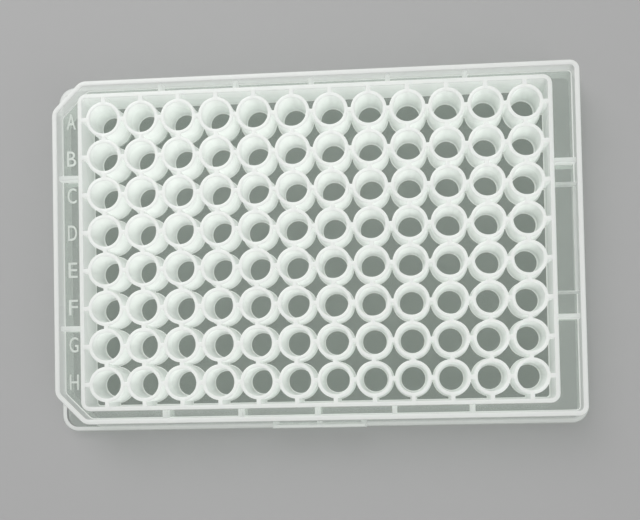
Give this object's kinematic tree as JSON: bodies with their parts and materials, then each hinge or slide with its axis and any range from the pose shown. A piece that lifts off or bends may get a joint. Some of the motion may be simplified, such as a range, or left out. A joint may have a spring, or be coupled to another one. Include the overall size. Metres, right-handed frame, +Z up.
{
  "type": "well plate",
  "caption": "Clear moulded microplate: a grid of flat-bottomed wells in a walled block, with a moat and a low flange around it, for holding many small liquid samples.",
  "frame": {"origin": "centre of the footprint on the base plane that the plate stands on", "axes": "+X from column 1 to column 12 along the long side, +Y from row H to row A, +Z up out of the wells"},
  "size_m": [0.1278, 0.0854, 0.0143],
  "materials": {
    "clear_plastic": "clear, faintly milky moulded polystyrene with a smooth gloss"
  },
  "bodies": {
    "root": {"well_plate": "clear_plastic"}
  },
  "joints": []
}
